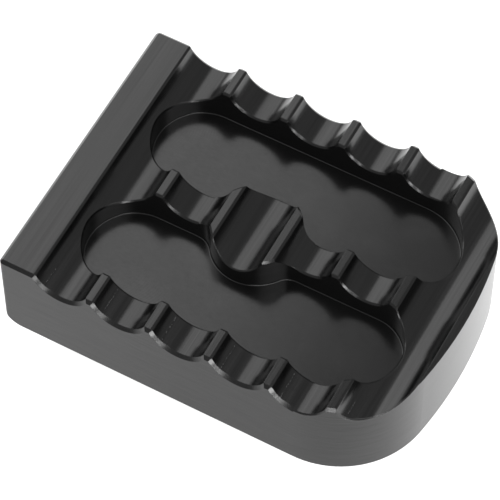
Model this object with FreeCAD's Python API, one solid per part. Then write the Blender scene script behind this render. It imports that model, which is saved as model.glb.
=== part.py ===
import FreeCAD, Part
import math
import os

from FreeCAD import Vector

# Folding motorcycle foot peg, in millimetres.
#
# Frame: the origin is the centre of the bracket's mounting bolt hole, on the face that meets the
# motorcycle. +X points outboard along the peg, +Y across it (the hinge pin's direction), +Z up.
#
# Each node is written to parts/NODE.step. The bracket, its pin and the pin's hardware stand still.
# The platform, its arm and everything bolted to them fold up about the pin.

X_AXIS = Vector(1, 0, 0)
Y_AXIS = Vector(0, 1, 0)
Z_AXIS = Vector(0, 0, 1)

# ---- Where the main features sit -------------------------------------------------------------

PIVOT_X = 15.0              # hinge pin, outboard of the mounting face
PIVOT_Z = 20.0              # hinge pin, above the mounting bolt
PIVOT_TO_UNDERSIDE = 12.0   # hinge pin up to the platform's underside
PLATFORM_X = 6.0            # the platform's straight end, outboard of the mounting face

# ---- Platform: outline -----------------------------------------------------------------------

PLATFORM_LENGTH = 77.9
PLATFORM_WIDTH = 57.15      # 2.25 inches
PLATFORM_HEIGHT = 20.0
OUTER_END_RADIUS = 80.0     # shallow curve of the outer end
OUTER_CORNER_RADIUS = 18.0
INNER_CORNER_RADIUS = 0.8
HEEL_RADIUS = 3.5           # underside of the straight end
RIM_CHAMFER = 0.6           # all round the outside, down into the grooves and over the crests
POCKET_RIM_CHAMFER = 0.4
EDGE_BREAK = 0.35           # the same, where the grooves meet a pocket or the rib
CURVED_EDGE_BREAK = 0.25    # the same, along the boss and the rounded corners
SHORTEST_LIP = 6.0          # curved stretches shorter than this stay sharp
LIP_BELOW_CREST = -0.8      # a lip dips at least this far into its groove
LIP_ABOVE_FLOOR = 0.5       # and stays this far above the pocket's floor

# ---- Platform: grooves across the top --------------------------------------------------------

GROOVE_COUNT = 6
GROOVE_PITCH = 11.8
GROOVE_CHORD = 10.2
GROOVE_DEPTH = 3.55
FIRST_GROOVE_X = 12.35      # its centre, from the straight end
CREST_ROUND = 0.6           # the outboard edge of each crest

# ---- Platform: pockets, rib and boss ---------------------------------------------------------

POCKET_DEPTH = 7.4
POCKET_START_X = 9.0
POCKET_END_X = 70.6
POCKET_WALL = 6.8           # outside wall beside each pocket
POCKET_END_CORNER = 10.8    # the corner that follows the platform's own
RIB_HALF_WIDTH = 3.2
POCKET_FLOOR_FILLET = 0.2
BOSS_X = 36.3
BOSS_RADIUS = 8.4
BOSS_BLEND_RADIUS = 4.0

# ---- Fasteners that hold the platform to the arm ---------------------------------------------

CENTRE_BOLT_RADIUS = 4.0    # M8
CENTRE_BOLT_LENGTH = 20.0
CENTRE_BOLT_HEAD_RADIUS = 6.5
CENTRE_BOLT_HEAD_HEIGHT = 8.0
CENTRE_BOLT_KEY = 6.0       # hexagon socket, across flats
CENTRE_BOLT_HOLE_DEPTH = 12.5

ARM_SCREW_RADIUS = 3.0      # M6
ARM_SCREW_LENGTH = 16.0
ARM_SCREW_HEAD_RADIUS = 5.0
ARM_SCREW_HEAD_HEIGHT = 6.0
ARM_SCREW_KEY = 5.0
ARM_SCREW_HOLE_DEPTH = 9.0
ARM_SCREW_X = 31.0          # from the mounting face
ARM_SCREW_Y = 12.0

DOWEL_RADIUS = 2.5
DOWEL_LENGTH = 13.0
DOWEL_INTO_PLATFORM = 6.5
DOWEL_X = 55.0
DOWEL_Y = 7.5

CLEARANCE_HOLE_EXTRA = 0.25
LOCK_WASHER_HEIGHT = 1.8
LOCK_WASHER_WALL = 2.2
LOCK_WASHER_GAP = 1.2
LOCK_WASHER_TILT = 30.0     # slant of the split, degrees
HEX_SOCKET_DEPTH = 0.6      # share of the head's height
SCREW_POINT_CHAMFER = 0.15  # share of the shank's radius
SCREW_HEAD_CHAMFER = 0.1    # share of the head's radius
DOWEL_CHAMFER = 0.4

# ---- Arm -------------------------------------------------------------------------------------

ARM_PLATE_THICKNESS = 7.0
ARM_PLATE_START = 10.5      # from the pin's axis
ARM_PLATE_END = 46.0
ARM_PLATE_WIDE = 18.0       # half width beside the screws
ARM_PLATE_NARROW = 11.5     # half width at the outer end
ARM_PLATE_SHOULDER = 20.0   # where the taper begins, from the pin's axis
ARM_PLATE_CORNER = 6.0
ARM_EDGE_CHAMFER = 0.8
ARM_ROOT_FILLET = 1.5       # web to plate
SCREW_RELIEF = 0.5          # scallop in the web, beyond each washer's edge
TONGUE_FRONT_Y = -9.5
TONGUE_REAR_Y = 2.5
KNUCKLE_RADIUS = 9.0
TAIL_REACH = 8.5            # inboard of the pin
FULL_FOLD = 50.0            # degrees
LANDING_GAP = 0.2           # tail to the top of the bracket's wall at full fold
STOP_FACE = 9.4             # inboard of the pin; it bears on the bracket at rest
STOP_DEPTH = 6.5
STOP_CORNER = 0.6
WEB_FOOT_ANGLE = -56.6      # where the web's lower edge leaves the knuckle, degrees
WEB_END = 24.0

# ---- Hinge -----------------------------------------------------------------------------------

PIN_RADIUS = 4.0
PIN_HEAD_RADIUS = 6.0
PIN_HEAD_HEIGHT = 2.5
PIN_TAIL = 6.6              # past the bracket's outer ear
PIN_TAIL_CHAMFER = 0.8
PIN_HEAD_CHAMFER = 0.6
RUNNING_CLEARANCE = 0.05    # radial
BUSH_RADIUS = 5.5
BUSH_LENGTH = 5.8           # without its flange
BUSH_FLANGE_RADIUS = 7.5
BUSH_FLANGE_HEIGHT = 1.0
PIN_WASHER_RADIUS = 7.5
PIN_WASHER_HEIGHT = 1.4
PIN_WASHER_PLAY = 0.2
SLEEVE_RADIUS = 5.8
SLEEVE_END_GAP = 0.1        # to the bush's flange
SLEEVE_EAR_GAP = 0.05       # to the bracket's ear
SPLIT_PIN_RADIUS = 1.0
SPLIT_PIN_PLAY = 0.1
SPLIT_PIN_PAST_WASHER = 2.2
SPLIT_PIN_EYE = 1.9         # radius of the eye's centre line
SPLIT_PIN_ABOVE = 0.3       # its neck stands this far over the hinge pin
SPLIT_PIN_BELOW = 0.6       # and its legs start this far under it
SPLIT_LEG_SPREAD = 4.4      # how far each leg is bent out
SPLIT_LEG_DROP = 1.6

# ---- Return spring ---------------------------------------------------------------------------

SPRING_WIRE_RADIUS = 0.8
SPRING_COIL_RADIUS = 7.2
SPRING_PITCH = 1.75
SPRING_TURNS = 2
SPRING_START_ANGLE = 300.0  # bracket end, degrees about the pin from +X towards +Z
SPRING_END_ANGLE = 315.0    # arm end
SPRING_LEG = 9.0
SPRING_HOOK = 6.0
SPRING_END_GAP = 0.5        # last coil to the bracket's ear
SPRING_BEND_RADIUS = 2.0
SPRING_STEP_DEGREES = 15    # spacing of the points that shape the coil

# ---- Bracket ---------------------------------------------------------------------------------

GAP_HALF = 10.75            # half the space between the ears
EAR_THICKNESS = 5.25
EAR_RADIUS = 9.0
BACK_WALL = 5.5
BACK_WALL_TOP = -0.5        # relative to the pin
GAP_FLOOR = -11.8           # relative to the pin
BASE_LOBE_RADIUS = 9.0
BASE_FOOT_X = 14.0          # thickness of the base at its lowest point
SHOULDER_DROP = 7.0         # below the pin, where the bracket starts to taper
MOUNT_THREAD_RADIUS = 4.25  # M10 tapping size
MOUNT_THREAD_DEPTH = 14.0
MOUNT_DOWEL_RADIUS = 2.5
MOUNT_DOWEL_DROP = 9.0      # below the pin
BRACKET_EDGE_RADIUS = 1.0
GAP_FLOOR_FILLET = 1.0

# ---- Worked out from the above ---------------------------------------------------------------

UNDERSIDE_Z = PIVOT_Z + PIVOT_TO_UNDERSIDE
HALF_WIDTH = PLATFORM_WIDTH / 2
GROOVE_RADIUS = ((GROOVE_CHORD / 2) ** 2 + GROOVE_DEPTH ** 2) / (2 * GROOVE_DEPTH)
EAR_OUTER = GAP_HALF + EAR_THICKNESS
CENTRE_BOLT_X = PLATFORM_X + BOSS_X
ARM_PLATE_BOTTOM = UNDERSIDE_Z - ARM_PLATE_THICKNESS
SPLIT_PIN_Y = EAR_OUTER + PIN_WASHER_HEIGHT + SPLIT_PIN_PAST_WASHER
BIG = 200.0


# ---- Helpers ---------------------------------------------------------------------------------

def cylinder(radius, length, base, direction):
    return Part.makeCylinder(radius, length, base, direction)


def box(x_range, y_range, z_range):
    lows = Vector(x_range[0], y_range[0], z_range[0])
    spans = [r[1] - r[0] for r in (x_range, y_range, z_range)]
    return Part.makeBox(spans[0], spans[1], spans[2], lows)


def prism(points, direction):
    """A straight-sided polygon pushed along a direction."""
    return Part.Face(Part.makePolygon(list(points) + [points[0]])).extrude(direction)


def arc(centre, radius, start_degrees, end_degrees):
    """An arc in the XY plane, counterclockwise from start to end."""
    circle = Part.Circle(centre, Z_AXIS, radius)
    return Part.Arc(circle, math.radians(start_degrees), math.radians(end_degrees)).toShape()


def line(start, end):
    return Part.makeLine(start, end)


def polar(angle_degrees, radius):
    """A point in the XZ plane about the pin's axis."""
    angle = math.radians(angle_degrees)
    return Vector(PIVOT_X + radius * math.cos(angle), 0, PIVOT_Z + radius * math.sin(angle))


def at_pin(x, z, y=0.0):
    """A point given relative to the pin's axis."""
    return Vector(PIVOT_X + x, y, PIVOT_Z + z)


def along_pin(radius, y_start, y_end):
    """A cylinder on the pin's axis."""
    return cylinder(radius, y_end - y_start, at_pin(0, 0, y_start), Y_AXIS)


def edges_where(shape, test):
    return [edge for edge in shape.Edges if test(edge)]


def is_vertical(edge):
    start, end = edge.Vertexes[0].Point, edge.Vertexes[-1].Point
    return (start - end).Length > 1e-3 and abs(abs((end - start).normalize().z) - 1) < 1e-6


def save(shape, node):
    shape.exportStep("parts/" + node + ".step")


# ---- Platform --------------------------------------------------------------------------------
# Modelled with its straight end at x = 0 and its crests at z = 0, then moved into place.

def outline_face():
    """The plan of the platform: square inner end, rounded corners, shallow curved outer end."""
    end_centre_x = PLATFORM_LENGTH - OUTER_END_RADIUS
    corner_y = HALF_WIDTH - OUTER_CORNER_RADIUS
    corner_x = straight_side_end()
    meet = math.degrees(math.atan2(corner_y, corner_x - end_centre_x))
    inner = INNER_CORNER_RADIUS
    low, high = -HALF_WIDTH, HALF_WIDTH
    edges = [
        line(Vector(inner, low, 0), Vector(corner_x, low, 0)),
        arc(Vector(corner_x, -corner_y, 0), OUTER_CORNER_RADIUS, -90, -meet),
        arc(Vector(end_centre_x, 0, 0), OUTER_END_RADIUS, -meet, meet),
        arc(Vector(corner_x, corner_y, 0), OUTER_CORNER_RADIUS, meet, 90),
        line(Vector(corner_x, high, 0), Vector(inner, high, 0)),
        arc(Vector(inner, high - inner, 0), inner, 90, 180),
        line(Vector(0, high - inner, 0), Vector(0, low + inner, 0)),
        arc(Vector(inner, low + inner, 0), inner, 180, 270),
    ]
    return Part.Face(Part.Wire(Part.__sortEdges__(edges)))


def straight_side_end():
    """Where the straight long sides give way to the rounded outer corners."""
    reach = OUTER_END_RADIUS - OUTER_CORNER_RADIUS
    corner_y = HALF_WIDTH - OUTER_CORNER_RADIUS
    return PLATFORM_LENGTH - OUTER_END_RADIUS + math.sqrt(reach ** 2 - corner_y ** 2)


def pocket_tool():
    """The pocket on the +Y side, as the solid that is milled away."""
    outer_y = HALF_WIDTH - POCKET_WALL
    start_radius = (outer_y - RIB_HALF_WIDTH) / 2
    middle_y = (outer_y + RIB_HALF_WIDTH) / 2
    far_radius = POCKET_END_CORNER
    near_radius = outer_y - RIB_HALF_WIDTH - far_radius
    start_x = POCKET_START_X + start_radius
    far_x = POCKET_END_X - far_radius
    near_x = POCKET_END_X - near_radius
    edges = [
        line(Vector(start_x, RIB_HALF_WIDTH, 0), Vector(near_x, RIB_HALF_WIDTH, 0)),
        arc(Vector(near_x, RIB_HALF_WIDTH + near_radius, 0), near_radius, -90, 0),
        arc(Vector(far_x, outer_y - far_radius, 0), far_radius, 0, 90),
        line(Vector(far_x, outer_y, 0), Vector(start_x, outer_y, 0)),
        arc(Vector(start_x, middle_y, 0), start_radius, 90, 270),
    ]
    face = Part.Face(Part.Wire(Part.__sortEdges__(edges)))
    tool = face.extrude(Vector(0, 0, POCKET_DEPTH + 1))
    tool.translate(Vector(0, 0, -POCKET_DEPTH))
    boss = cylinder(BOSS_RADIUS, BIG, Vector(BOSS_X, 0, -BIG / 2), Z_AXIS)
    tool = tool.cut(boss)
    corners = edges_where(tool, lambda e: is_vertical(e) and is_boss_corner(e))
    tool = tool.makeFillet(BOSS_BLEND_RADIUS, corners)
    floor = edges_where(tool, lambda e: abs(e.BoundBox.ZMax + POCKET_DEPTH) < 1e-6)
    return tool.makeFillet(POCKET_FLOOR_FILLET, floor)


def is_boss_corner(edge):
    """True for the two edges where the boss runs into the rib."""
    point = edge.Vertexes[0].Point
    from_boss = math.hypot(point.x - BOSS_X, point.y)
    return abs(from_boss - BOSS_RADIUS) < 1e-3 and abs(abs(point.y) - RIB_HALF_WIDTH) < 1e-3


def groove_axis(index, y):
    """A point on the axis of one groove's cylinder."""
    return Vector(FIRST_GROOVE_X + index * GROOVE_PITCH, y, GROOVE_RADIUS - GROOVE_DEPTH)


def flares(wall_y, outward, x_range, size):
    """Cones that widen each groove where it runs out through a straight wall: a true chamfer."""
    cones = []
    past_wall = 0.5
    for index in range(GROOVE_COUNT):
        base = groove_axis(index, wall_y - outward * size)
        height = size + past_wall
        cone = Part.makeCone(GROOVE_RADIUS, GROOVE_RADIUS + height, height, base,
                             Y_AXIS * outward)
        keep = box(x_range, (wall_y - 1, wall_y + 1), (-PLATFORM_HEIGHT, PLATFORM_HEIGHT))
        cone = cone.common(keep)
        if cone.Volume > 1e-6:
            cones.append(cone)
    return cones


def wall_flares():
    """Flares along the outside walls, the pockets' outer walls and the middle rib."""
    pocket_y = HALF_WIDTH - POCKET_WALL
    end_radius = (pocket_y - RIB_HALF_WIDTH) / 2
    pocket_x = (POCKET_START_X + end_radius, POCKET_END_X - POCKET_END_CORNER)
    blend = math.sqrt((BOSS_RADIUS + BOSS_BLEND_RADIUS) ** 2
                      - (RIB_HALF_WIDTH + BOSS_BLEND_RADIUS) ** 2)
    rib_end = POCKET_END_X - (pocket_y - RIB_HALF_WIDTH - POCKET_END_CORNER)
    cones = []
    for side in (-1, 1):
        rib_y = side * RIB_HALF_WIDTH
        cones += flares(side * HALF_WIDTH, side, (-1, straight_side_end()), RIM_CHAMFER)
        cones += flares(side * pocket_y, -side, pocket_x, EDGE_BREAK)
        cones += flares(rib_y, side, (pocket_x[0], BOSS_X - blend), EDGE_BREAK)
        cones += flares(rib_y, side, (BOSS_X + blend, rib_end), EDGE_BREAK)
    return cones


def grooved_prism():
    """The side profile, pushed across the full width: flat band, six grooves, crests between."""
    body = box((-1, PLATFORM_LENGTH + 1), (-HALF_WIDTH - 1, HALF_WIDTH + 1), (-PLATFORM_HEIGHT, 0))
    for index in range(GROOVE_COUNT):
        body = body.cut(cylinder(GROOVE_RADIUS, BIG, groove_axis(index, -BIG / 2), Y_AXIS))
    shoulders = edges_where(body, is_crest_shoulder)
    body = body.makeFillet(CREST_ROUND, shoulders)
    heel = box((-1, HEEL_RADIUS), (-HALF_WIDTH - 1, HALF_WIDTH + 1),
               (-PLATFORM_HEIGHT, HEEL_RADIUS - PLATFORM_HEIGHT))
    heel_base = Vector(HEEL_RADIUS, -BIG / 2, HEEL_RADIUS - PLATFORM_HEIGHT)
    return body.cut(heel.cut(cylinder(HEEL_RADIUS, BIG, heel_base, Y_AXIS)))


def is_crest_shoulder(edge):
    """True for the inboard lip of each groove, which is the outboard edge of the crest before it."""
    bounds = edge.BoundBox
    if bounds.YLength < PLATFORM_WIDTH or bounds.ZLength > 1e-6 or abs(bounds.ZMax) > 1e-6:
        return False
    into_pitch = (bounds.XMin - (FIRST_GROOVE_X - GROOVE_CHORD / 2)) % GROOVE_PITCH
    return min(into_pitch, GROOVE_PITCH - into_pitch) < 1e-3 and bounds.XMin < PLATFORM_LENGTH


def is_upright_round(face):
    """True for the curved walls: rounded corners, pocket ends and the boss."""
    if not isinstance(face.Surface, Part.Cylinder):
        return False
    return abs(abs(face.Surface.Axis.z) - 1) < 1e-6


def curved_lips(body):
    """The long edges where a groove runs out through a curved upright wall."""
    lips = []
    for edge in body.Edges:
        bounds = edge.BoundBox
        in_groove = bounds.ZMin < LIP_BELOW_CREST and bounds.ZMax > LIP_ABOVE_FLOOR - POCKET_DEPTH
        if edge.Length < SHORTEST_LIP or not in_groove:
            continue
        faces = body.ancestorsOfType(edge, Part.Face)
        walls = [face for face in faces if is_upright_round(face)]
        if len(faces) == 2 and len(walls) == 1:
            lips.append(edge)
    return lips


def platform():
    blank = outline_face().extrude(Vector(0, 0, PLATFORM_HEIGHT))
    blank.translate(Vector(0, 0, -PLATFORM_HEIGHT))
    rim = edges_where(blank, lambda e: abs(e.BoundBox.ZMin) < 1e-6)
    blank = blank.makeChamfer(RIM_CHAMFER, rim)
    rear_pocket = pocket_tool()
    front_pocket = rear_pocket.mirror(Vector(0, 0, 0), Y_AXIS)
    blank = blank.cut(rear_pocket).cut(front_pocket)
    inside = HALF_WIDTH - POCKET_WALL + 0.1
    pocket_rims = edges_where(
        blank,
        lambda e: abs(e.BoundBox.ZMin) < 1e-6 and abs(e.BoundBox.Center.y) < inside
        and e.BoundBox.XMin > POCKET_START_X - 0.1 and e.BoundBox.XMax < POCKET_END_X + 0.1
    )
    blank = blank.makeChamfer(POCKET_RIM_CHAMFER, pocket_rims)
    body = blank.common(grooved_prism()).cut(wall_flares())
    body = body.makeChamfer(CURVED_EDGE_BREAK, curved_lips(body))
    body.translate(Vector(PLATFORM_X, 0, UNDERSIDE_Z + PLATFORM_HEIGHT))
    return drill_underside(body)


def drill_underside(body):
    """Blind holes for the bolt, the screws and the dowels, all from below."""
    holes = [(CENTRE_BOLT_RADIUS, CENTRE_BOLT_HOLE_DEPTH, CENTRE_BOLT_X, 0.0)]
    for side in (-1, 1):
        holes.append((ARM_SCREW_RADIUS, ARM_SCREW_HOLE_DEPTH, ARM_SCREW_X, side * ARM_SCREW_Y))
        holes.append((DOWEL_RADIUS, DOWEL_INTO_PLATFORM + 0.5, DOWEL_X, side * DOWEL_Y))
    for radius, depth, x, y in holes:
        body = body.cut(cylinder(radius, depth, Vector(x, y, UNDERSIDE_Z), Z_AXIS))
    return body.removeSplitter()


# ---- Fasteners -------------------------------------------------------------------------------

def socket_screw(radius, length, head_radius, head_height, key, top):
    """A socket head cap screw that points up, with its tip at the given point."""
    under_head = top - Z_AXIS * length
    bottom = under_head - Z_AXIS * head_height
    shank = cylinder(radius, length, under_head, Z_AXIS)
    shank = shank.makeChamfer(radius * SCREW_POINT_CHAMFER, edges_where(
        shank, lambda e: abs(e.BoundBox.ZMin - top.z) < 1e-6))
    head = cylinder(head_radius, head_height, bottom, Z_AXIS)
    head = head.makeChamfer(head_radius * SCREW_HEAD_CHAMFER, edges_where(
        head, lambda e: abs(e.BoundBox.ZMax - bottom.z) < 1e-6))
    corner = key / math.sqrt(3)
    hexagon = [bottom + Vector(corner * math.cos(math.radians(60 * i)),
                               corner * math.sin(math.radians(60 * i)), 0) for i in range(6)]
    socket = prism(hexagon, Z_AXIS * head_height * HEX_SOCKET_DEPTH)
    return head.fuse(shank).cut(socket).removeSplitter()


def washer_outer_radius(screw_radius):
    return screw_radius + CLEARANCE_HOLE_EXTRA + LOCK_WASHER_WALL


def lock_washer(radius, top):
    """A split spring washer with its upper face at the given point."""
    inner = radius + CLEARANCE_HOLE_EXTRA
    outer = washer_outer_radius(radius)
    base = top - Z_AXIS * LOCK_WASHER_HEIGHT
    ring = cylinder(outer, LOCK_WASHER_HEIGHT, base, Z_AXIS)
    ring = ring.cut(cylinder(inner, LOCK_WASHER_HEIGHT, base, Z_AXIS))
    slit = box((inner - 1, outer + 1), (-LOCK_WASHER_GAP / 2, LOCK_WASHER_GAP / 2),
               (-LOCK_WASHER_HEIGHT, LOCK_WASHER_HEIGHT * 2))
    slit.rotate(Vector(0, 0, 0), X_AXIS, LOCK_WASHER_TILT)
    slit.translate(base)
    return ring.cut(slit)


def centre_bolt():
    top = Vector(CENTRE_BOLT_X, 0, ARM_PLATE_BOTTOM - LOCK_WASHER_HEIGHT + CENTRE_BOLT_LENGTH)
    return socket_screw(CENTRE_BOLT_RADIUS, CENTRE_BOLT_LENGTH, CENTRE_BOLT_HEAD_RADIUS,
                        CENTRE_BOLT_HEAD_HEIGHT, CENTRE_BOLT_KEY, top)


def centre_bolt_washer():
    return lock_washer(CENTRE_BOLT_RADIUS, Vector(CENTRE_BOLT_X, 0, ARM_PLATE_BOTTOM))


def both_sides(make):
    """One solid on each side of the centre line, as a compound."""
    return Part.makeCompound([make(-1), make(1)])


def arm_screw(side):
    tip_z = ARM_PLATE_BOTTOM - LOCK_WASHER_HEIGHT + ARM_SCREW_LENGTH
    return socket_screw(ARM_SCREW_RADIUS, ARM_SCREW_LENGTH, ARM_SCREW_HEAD_RADIUS,
                        ARM_SCREW_HEAD_HEIGHT, ARM_SCREW_KEY,
                        Vector(ARM_SCREW_X, side * ARM_SCREW_Y, tip_z))


def arm_screw_washer(side):
    return lock_washer(ARM_SCREW_RADIUS, Vector(ARM_SCREW_X, side * ARM_SCREW_Y, ARM_PLATE_BOTTOM))


def locating_dowel(side):
    base = Vector(DOWEL_X, side * DOWEL_Y, UNDERSIDE_Z + DOWEL_INTO_PLATFORM - DOWEL_LENGTH)
    pin = cylinder(DOWEL_RADIUS, DOWEL_LENGTH, base, Z_AXIS)
    return pin.makeChamfer(DOWEL_CHAMFER, edges_where(pin, lambda e: e.BoundBox.ZLength < 1e-6))


# ---- Arm -------------------------------------------------------------------------------------

def arm_plate():
    """The flat plate under the platform: wide beside the tongue, narrower at its outer end."""
    plan = [
        Vector(PIVOT_X + ARM_PLATE_START, -ARM_PLATE_WIDE, ARM_PLATE_BOTTOM),
        Vector(PIVOT_X + ARM_PLATE_SHOULDER, -ARM_PLATE_WIDE, ARM_PLATE_BOTTOM),
        Vector(PIVOT_X + ARM_PLATE_END, -ARM_PLATE_NARROW, ARM_PLATE_BOTTOM),
        Vector(PIVOT_X + ARM_PLATE_END, ARM_PLATE_NARROW, ARM_PLATE_BOTTOM),
        Vector(PIVOT_X + ARM_PLATE_SHOULDER, ARM_PLATE_WIDE, ARM_PLATE_BOTTOM),
        Vector(PIVOT_X + ARM_PLATE_START, ARM_PLATE_WIDE, ARM_PLATE_BOTTOM),
    ]
    plate = prism(plan, Z_AXIS * ARM_PLATE_THICKNESS)
    outer_corners = edges_where(
        plate, lambda e: is_vertical(e) and e.BoundBox.XMin > PIVOT_X + ARM_PLATE_START + 1)
    plate = plate.makeFillet(ARM_PLATE_CORNER, outer_corners)
    inner_corners = edges_where(
        plate, lambda e: is_vertical(e) and e.BoundBox.XMin < PIVOT_X + ARM_PLATE_START + 1)
    plate = plate.makeFillet(ARM_PLATE_CORNER / 3, inner_corners)
    lower_rim = edges_where(plate, lambda e: abs(e.BoundBox.ZMax - ARM_PLATE_BOTTOM) < 1e-6)
    return plate.makeChamfer(ARM_EDGE_CHAMFER, lower_rim)


def before_fold(x, z):
    """Where a point sits at rest, given where it must be at full fold, relative to the pin."""
    turn = math.radians(FULL_FOLD)
    return at_pin(x * math.cos(turn) + z * math.sin(turn), z * math.cos(turn) - x * math.sin(turn))


def tail_tip():
    """The lowest point of the tail's inboard end; its landing face runs from here to the pin."""
    landing = BACK_WALL_TOP + LANDING_GAP
    turn = math.radians(FULL_FOLD)
    return before_fold(-(TAIL_REACH + landing * math.sin(turn)) / math.cos(turn), landing)


def tongue():
    """The upright web that carries the hinge: knuckle, tail, stop heel and gusset."""
    width = TONGUE_REAR_Y - TONGUE_FRONT_Y
    foot = polar(WEB_FOOT_ANGLE, KNUCKLE_RADIUS)
    web = prism([
        at_pin(0, 0),
        foot,
        at_pin(WEB_END, PIVOT_TO_UNDERSIDE - ARM_PLATE_THICKNESS),
        at_pin(WEB_END, PIVOT_TO_UNDERSIDE),
        at_pin(-TAIL_REACH, PIVOT_TO_UNDERSIDE),
        tail_tip(),
        before_fold(0, BACK_WALL_TOP + LANDING_GAP),
    ], Y_AXIS * width)
    heel = prism([
        at_pin(-STOP_FACE, 0),
        at_pin(-STOP_FACE, STOP_CORNER - STOP_DEPTH),
        at_pin(STOP_CORNER - STOP_FACE, -STOP_DEPTH),
        at_pin(0, -STOP_DEPTH),
        at_pin(0, 0),
    ], Y_AXIS * width)
    knuckle = cylinder(KNUCKLE_RADIUS, width, at_pin(0, 0), Y_AXIS)
    shape = web.fuse([heel, knuckle]).removeSplitter()
    shape.translate(Y_AXIS * TONGUE_FRONT_Y)
    return shape


def is_web_root(edge):
    """True for the two edges where the web's sides meet the plate's underside."""
    bounds = edge.BoundBox
    if bounds.ZLength > 1e-6 or bounds.YLength > 1e-6:
        return False
    at_side = min(abs(bounds.YMin - TONGUE_FRONT_Y), abs(bounds.YMin - TONGUE_REAR_Y)) < 1e-6
    return at_side and abs(bounds.ZMin - ARM_PLATE_BOTTOM) < 1e-6


def peg_arm():
    arm = arm_plate().fuse(tongue()).removeSplitter()
    arm = arm.makeFillet(ARM_ROOT_FILLET, edges_where(arm, is_web_root))
    arm = arm.cut(along_pin(BUSH_RADIUS, TONGUE_FRONT_Y, TONGUE_REAR_Y))
    screws = [(CENTRE_BOLT_RADIUS, CENTRE_BOLT_X, 0.0)]
    screws += [(ARM_SCREW_RADIUS, ARM_SCREW_X, side * ARM_SCREW_Y) for side in (-1, 1)]
    for radius, x, y in screws:
        relief = washer_outer_radius(radius) + SCREW_RELIEF
        arm = arm.cut(cylinder(relief, BIG, Vector(x, y, ARM_PLATE_BOTTOM), -Z_AXIS))
    holes = [(radius + CLEARANCE_HOLE_EXTRA, x, y) for radius, x, y in screws]
    holes += [(DOWEL_RADIUS, DOWEL_X, side * DOWEL_Y) for side in (-1, 1)]
    for radius, x, y in holes:
        arm = arm.cut(cylinder(radius, BIG, Vector(x, y, ARM_PLATE_BOTTOM - 1), Z_AXIS))
    hook_start = polar(SPRING_END_ANGLE, SPRING_COIL_RADIUS) + spring_leg_vector(SPRING_END_ANGLE, 1)
    hook_hole = cylinder(SPRING_WIRE_RADIUS + 0.2, SPRING_HOOK, hook_start, Y_AXIS)
    hook_hole.translate(Y_AXIS * (TONGUE_REAR_Y - SPRING_HOOK))
    return arm.cut(hook_hole)


# ---- Hinge -----------------------------------------------------------------------------------

def pivot_bush(face_y, into):
    """A flanged bush whose flange seats on the tongue's face and whose barrel runs into it."""
    flange_y = sorted((face_y, face_y - into * BUSH_FLANGE_HEIGHT))
    barrel_y = sorted((face_y, face_y + into * BUSH_LENGTH))
    bush = along_pin(BUSH_FLANGE_RADIUS, *flange_y).fuse(along_pin(BUSH_RADIUS, *barrel_y))
    return bush.removeSplitter().cut(along_pin(PIN_RADIUS + RUNNING_CLEARANCE, -BIG, BIG))


def pivot_pin():
    tail_y = EAR_OUTER + PIN_TAIL
    shank = along_pin(PIN_RADIUS, -EAR_OUTER, tail_y)
    tail_rim = edges_where(shank, lambda e: e.BoundBox.YMin > tail_y - 1e-6)
    shank = shank.makeChamfer(PIN_TAIL_CHAMFER, tail_rim)
    head_y = -EAR_OUTER - PIN_HEAD_HEIGHT
    head = along_pin(PIN_HEAD_RADIUS, head_y, -EAR_OUTER)
    head_rim = edges_where(head, lambda e: e.BoundBox.YMax < head_y + 1e-6)
    head = head.makeChamfer(PIN_HEAD_CHAMFER, head_rim)
    hole = cylinder(SPLIT_PIN_RADIUS + SPLIT_PIN_PLAY, BIG, Vector(PIVOT_X, SPLIT_PIN_Y, -BIG / 2),
                    Z_AXIS)
    return shank.fuse(head).removeSplitter().cut(hole)


def pin_washer():
    ring = along_pin(PIN_WASHER_RADIUS, EAR_OUTER, EAR_OUTER + PIN_WASHER_HEIGHT)
    return ring.cut(along_pin(PIN_RADIUS + PIN_WASHER_PLAY, 0, BIG))


def bent_rod(points, radius):
    """A round bar along straight stretches, with a ball at each bend."""
    pieces = []
    for start, end in zip(points, points[1:]):
        run = end - start
        pieces.append(cylinder(radius, run.Length, start, run))
    for point in points[1:-1]:
        pieces.append(Part.makeSphere(radius, point))
    return pieces[0].fuse(pieces[1:]).removeSplitter()


def split_pin():
    """A cotter pin through the hinge pin's tail: round eye on top, legs opened out below."""
    above = PIN_RADIUS + SPLIT_PIN_ABOVE
    below = -PIN_RADIUS - SPLIT_PIN_BELOW
    leg_radius = SPLIT_PIN_RADIUS / 2
    eye_z = above + SPLIT_PIN_EYE
    eye = Part.makeTorus(SPLIT_PIN_EYE, leg_radius, at_pin(0, eye_z, SPLIT_PIN_Y), Y_AXIS)
    shank = cylinder(SPLIT_PIN_RADIUS, above - below, at_pin(0, below, SPLIT_PIN_Y), Z_AXIS)
    pieces = [shank]
    for side in (-1, 1):
        pieces.append(bent_rod([
            at_pin(side * leg_radius, below + leg_radius, SPLIT_PIN_Y),
            at_pin(side * leg_radius * 1.6, below - leg_radius * 0.8, SPLIT_PIN_Y),
            at_pin(side * SPLIT_LEG_SPREAD, below - SPLIT_LEG_DROP, SPLIT_PIN_Y),
        ], leg_radius))
    return eye.fuse(pieces).removeSplitter()


def spring_sleeve():
    start_y = TONGUE_REAR_Y + BUSH_FLANGE_HEIGHT + SLEEVE_END_GAP
    sleeve = along_pin(SLEEVE_RADIUS, start_y, GAP_HALF - SLEEVE_EAR_GAP)
    return sleeve.cut(along_pin(PIN_RADIUS + RUNNING_CLEARANCE, -BIG, BIG))


# ---- Return spring ---------------------------------------------------------------------------

def spring_leg_vector(angle_degrees, forward):
    """Straight on from the coil at this angle: forward is 1 past the coil's end, -1 before it."""
    angle = math.radians(angle_degrees)
    return Vector(-math.sin(angle), 0, math.cos(angle)) * SPRING_LEG * forward


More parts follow.
